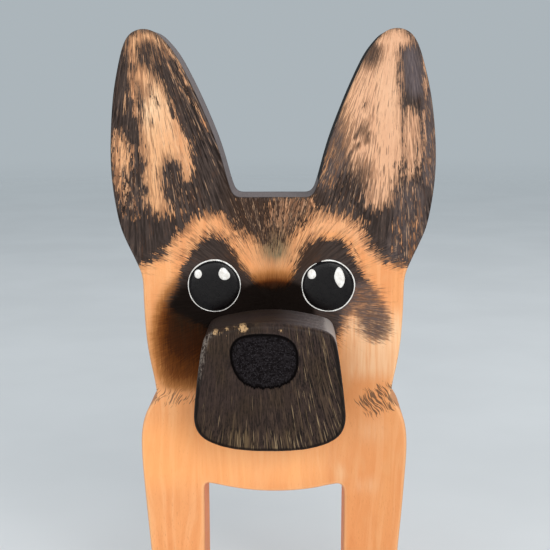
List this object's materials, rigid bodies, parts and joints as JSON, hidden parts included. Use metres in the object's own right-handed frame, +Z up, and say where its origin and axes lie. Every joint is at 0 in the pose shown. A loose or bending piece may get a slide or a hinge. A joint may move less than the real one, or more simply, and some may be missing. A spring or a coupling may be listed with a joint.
{
  "type": "eyeglasses display stand",
  "caption": "Free-standing painted wooden dog with upright ears and front legs, whose snout block carries the bridge of a pair of glasses.",
  "frame": {"origin": "on the table the stand rests on, midway between its left and right sides and midway between the paw tips and the back of the board", "axes": "+Z up from the feet to the ear tips, -Y the way the snout points, +X to the right seen from the front"},
  "size_m": [0.0892, 0.04, 0.1751],
  "materials": {
    "painted_board": "pine, honey-coloured stain with hand-painted black and brown coat, satin varnish",
    "snout_paint": "pine with dry-brushed charcoal paint, satin varnish",
    "dowel_wood": "bare beech",
    "stained_pine": "pine, honey-coloured stain, satin varnish",
    "felt": "pressed wool felt",
    "enamel_black": "gloss black enamel of the painted eyes",
    "enamel_white": "white enamel of the eye rings and glints"
  },
  "bodies": {
    "root": {"dog_board": "painted_board", "snout_block": "snout_paint", "snout_dowels": "dowel_wood", "left_paw": "stained_pine", "right_paw": "stained_pine", "paw_dowels": "dowel_wood", "felt_pads": "felt"}
  },
  "joints": []
}
